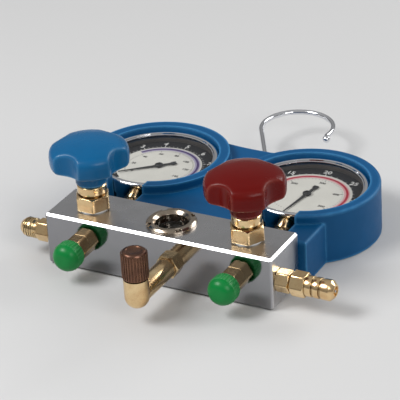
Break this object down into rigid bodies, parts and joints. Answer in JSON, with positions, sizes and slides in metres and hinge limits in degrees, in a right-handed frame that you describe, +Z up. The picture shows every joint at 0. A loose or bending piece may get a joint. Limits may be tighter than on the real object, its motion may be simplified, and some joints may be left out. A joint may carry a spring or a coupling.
{
  "type": "refrigerant manifold gauge",
  "caption": "Refrigerant manifold with low and high side valves, two dial gauges in a moulded boot, a sight glass, flare ports with caps and a wire hanging hook.",
  "frame": {"origin": "middle of the block's flat back face, which rests on the bench", "axes": "+X from the low (blue) side to the high (red) side, +Y from the block towards the gauges and the hook, +Z up out of the dials"},
  "size_m": [0.185, 0.2356, 0.071],
  "materials": {
    "polished_aluminium": "polished face, machined edges",
    "turned_brass": "machined, bright",
    "dark_brass": "knurled, darkened",
    "blue_knob": "glossy moulded",
    "red_knob": "glossy moulded",
    "green_cap": "moulded",
    "blue_boot": "satin moulded",
    "chrome_steel": "polished chrome plate",
    "clear_lens": "clear",
    "dial_print": "matt print",
    "black_pointer": "matt black",
    "movement_brass": "stamped",
    "tube_bronze": "drawn bronze",
    "seal_rubber": "matt",
    "valve_ptfe": "matt",
    "steel": "turned"
  },
  "bodies": {
    "manifold": {"manifold_block": "polished_aluminium", "gallery_plug": "turned_brass", "sight_glass_ring": "turned_brass", "sight_glass_lens": "clear_lens", "sight_glass_seal": "seal_rubber", "centre_elbow": "turned_brass", "centre_core": "turned_brass", "low_side_fitting": "turned_brass", "high_side_fitting": "turned_brass", "high_side_adapter": "turned_brass", "gauge_boot": "blue_boot", "low_side_core": "turned_brass", "low_bonnet": "turned_brass", "low_bonnet_gasket": "valve_ptfe", "low_stem_o_ring": "seal_rubber", "low_hose_port": "turned_brass", "low_gauge_case": "chrome_steel", "low_gauge_bezel": "chrome_steel", "low_gauge_lens": "clear_lens", "low_gauge_gasket": "seal_rubber", "low_gauge_dial": "dial_print", "low_gauge_socket": "turned_brass", "low_bourdon_tube": "tube_bronze", "low_movement_frame": "movement_brass", "high_side_core": "turned_brass", "high_bonnet": "turned_brass", "high_bonnet_gasket": "valve_ptfe", "high_stem_o_ring": "seal_rubber", "high_hose_port": "turned_brass", "high_gauge_case": "chrome_steel", "high_gauge_bezel": "chrome_steel", "high_gauge_lens": "clear_lens", "high_gauge_gasket": "seal_rubber", "high_gauge_dial": "dial_print", "high_gauge_socket": "turned_brass", "high_bourdon_tube": "tube_bronze", "high_movement_frame": "movement_brass"},
    "service_cap": {"service_cap": "dark_brass", "service_cap_gasket": "seal_rubber"},
    "centre_core_pin": {"centre_core_pin": "steel"},
    "hook": {"hanging_hook": "chrome_steel", "hook_collar": "steel"},
    "low_valve_disc": {"low_seat_disc": "valve_ptfe"},
    "low_valve_stem": {"low_stem": "turned_brass", "low_knob": "blue_knob"},
    "low_port_cap": {"low_port_cap": "green_cap"},
    "low_side_core_pin": {"low_side_core_pin": "steel"},
    "low_sector": {"low_sector_gear": "movement_brass"},
    "low_link": {"low_movement_link": "movement_brass"},
    "low_indicator": {"low_pinion": "movement_brass", "low_pointer": "black_pointer"},
    "high_valve_disc": {"high_seat_disc": "valve_ptfe"},
    "high_valve_stem": {"high_stem": "turned_brass", "high_knob": "red_knob"},
    "high_port_cap": {"high_port_cap": "green_cap"},
    "high_side_core_pin": {"high_side_core_pin": "steel"},
    "high_sector": {"high_sector_gear": "movement_brass"},
    "high_link": {"high_movement_link": "movement_brass"},
    "high_indicator": {"high_pinion": "movement_brass", "high_pointer": "black_pointer"}
  },
  "joints": [
    {"name": "low_valve_lift", "type": "slide", "parent": "manifold", "child": "low_valve_disc", "axis": [0, 0, 1], "range_m": [0, 0.0025]},
    {"name": "low_valve_turn", "type": "hinge", "parent": "low_valve_disc", "child": "low_valve_stem", "pos_m": [-0.0458, 0, 0.043], "axis": [0, 0, 1], "range_deg": [0, 720.5]},
    {"name": "low_cap_pull", "type": "slide", "parent": "manifold", "child": "low_port_cap", "axis": [0, -1, 0], "range_m": [0, 0.03]},
    {"name": "low_side_pin_press", "type": "slide", "parent": "manifold", "child": "low_side_core_pin", "axis": [1, 0, 0], "range_m": [0, 0.001], "stiffness_N_per_m": 800},
    {"name": "low_sector_swing", "type": "hinge", "parent": "manifold", "child": "low_sector", "pos_m": [-0.0458, 0.05355, 0.0125], "axis": [0, 0, 1], "range_deg": [-5.6, 34.93]},
    {"name": "low_link_swing", "type": "hinge", "parent": "low_sector", "child": "low_link", "pos_m": [-0.0411, 0.05184, 0.0135], "axis": [0, 0, 1], "range_deg": [-34.94, 5.61]},
    {"name": "low_pointer_turn", "type": "hinge", "parent": "manifold", "child": "low_indicator", "pos_m": [-0.0458, 0.0714, 0.021], "axis": [0, 0, 1], "range_deg": [-262, 42]},
    {"name": "high_valve_lift", "type": "slide", "parent": "manifold", "child": "high_valve_disc", "axis": [0, 0, 1], "range_m": [0, 0.0025]},
    {"name": "high_valve_turn", "type": "hinge", "parent": "high_valve_disc", "child": "high_valve_stem", "pos_m": [0.0458, 0, 0.043], "axis": [0, 0, 1], "range_deg": [0, 720.5]},
    {"name": "high_cap_pull", "type": "slide", "parent": "manifold", "child": "high_port_cap", "axis": [0, -1, 0], "range_m": [0, 0.03]},
    {"name": "high_side_pin_press", "type": "slide", "parent": "manifold", "child": "high_side_core_pin", "axis": [-1, 0, 0], "range_m": [0, 0.001], "stiffness_N_per_m": 800},
    {"name": "high_sector_swing", "type": "hinge", "parent": "manifold", "child": "high_sector", "pos_m": [0.0458, 0.05355, 0.0125], "axis": [0, 0, 1], "range_deg": [0, 40]},
    {"name": "high_link_swing", "type": "hinge", "parent": "high_sector", "child": "high_link", "pos_m": [0.0505, 0.05184, 0.0135], "axis": [0, 0, 1], "range_deg": [-40.01, 0.01]},
    {"name": "high_pointer_turn", "type": "hinge", "parent": "manifold", "child": "high_indicator", "pos_m": [0.0458, 0.0714, 0.021], "axis": [0, 0, 1], "range_deg": [-300, 0]},
    {"name": "service_cap_pull", "type": "slide", "parent": "manifold", "child": "service_cap", "axis": [0, 0, 1], "range_m": [0, 0.02]},
    {"name": "centre_pin_press", "type": "slide", "parent": "manifold", "child": "centre_core_pin", "axis": [0, 0, -1], "range_m": [0, 0.001], "stiffness_N_per_m": 800},
    {"name": "hook_swivel", "type": "hinge", "parent": "manifold", "child": "hook", "pos_m": [0, 0.105, 0.015], "axis": [0, 1, 0], "continuous": true}
  ],
  "couplings": [
    {"joint": "low_valve_turn", "follows": "low_valve_lift", "rad_per_m": 5026.5},
    {"joint": "low_link_swing", "follows": "low_sector_swing", "ratio": -1},
    {"joint": "low_pointer_turn", "follows": "low_sector_swing", "ratio": -7.5},
    {"joint": "high_valve_turn", "follows": "high_valve_lift", "rad_per_m": 5026.5},
    {"joint": "high_link_swing", "follows": "high_sector_swing", "ratio": -1},
    {"joint": "high_pointer_turn", "follows": "high_sector_swing", "ratio": -7.5}
  ]
}
